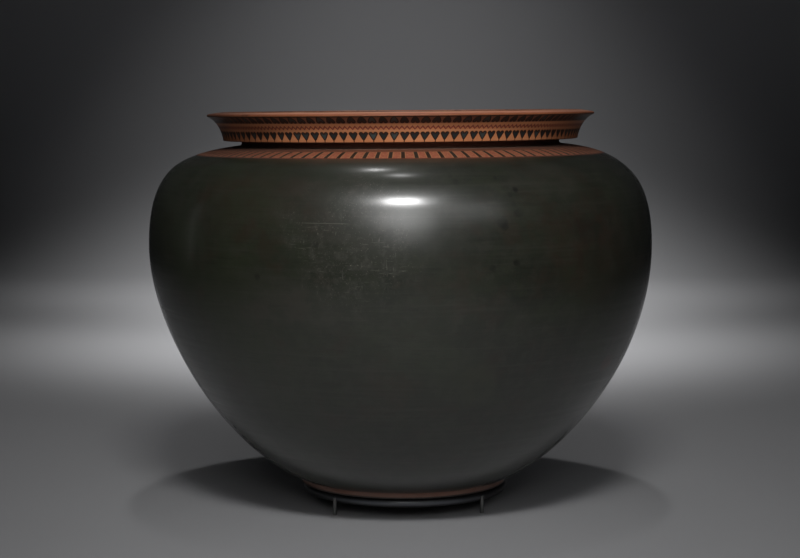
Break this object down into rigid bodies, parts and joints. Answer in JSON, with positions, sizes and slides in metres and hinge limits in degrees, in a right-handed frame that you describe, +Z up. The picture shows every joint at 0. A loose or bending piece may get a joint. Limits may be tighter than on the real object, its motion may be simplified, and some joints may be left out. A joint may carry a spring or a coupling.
{
  "type": "dinos",
  "caption": "Round-bodied open mixing bowl of black-glazed clay with a painted collar rim, standing on a low metal ring with peg feet.",
  "frame": {"origin": "on the floor under the middle of the bowl's widest part, at the bottom centre of the whole object", "axes": "+Z up along the bowl's axis, -Y towards the front of the picture, +X to its right"},
  "size_m": [0.5, 0.5, 0.3934],
  "materials": {
    "glazed_clay": "glossy black slip over orange clay, with painted bands",
    "black_ring": "gloss black",
    "bare_steel": "satin"
  },
  "bodies": {
    "root": {"dinos": "glazed_clay", "support_ring": "black_ring", "peg_front_left": "bare_steel", "peg_front_right": "bare_steel", "peg_back_left": "bare_steel", "peg_back_right": "bare_steel"}
  },
  "joints": []
}
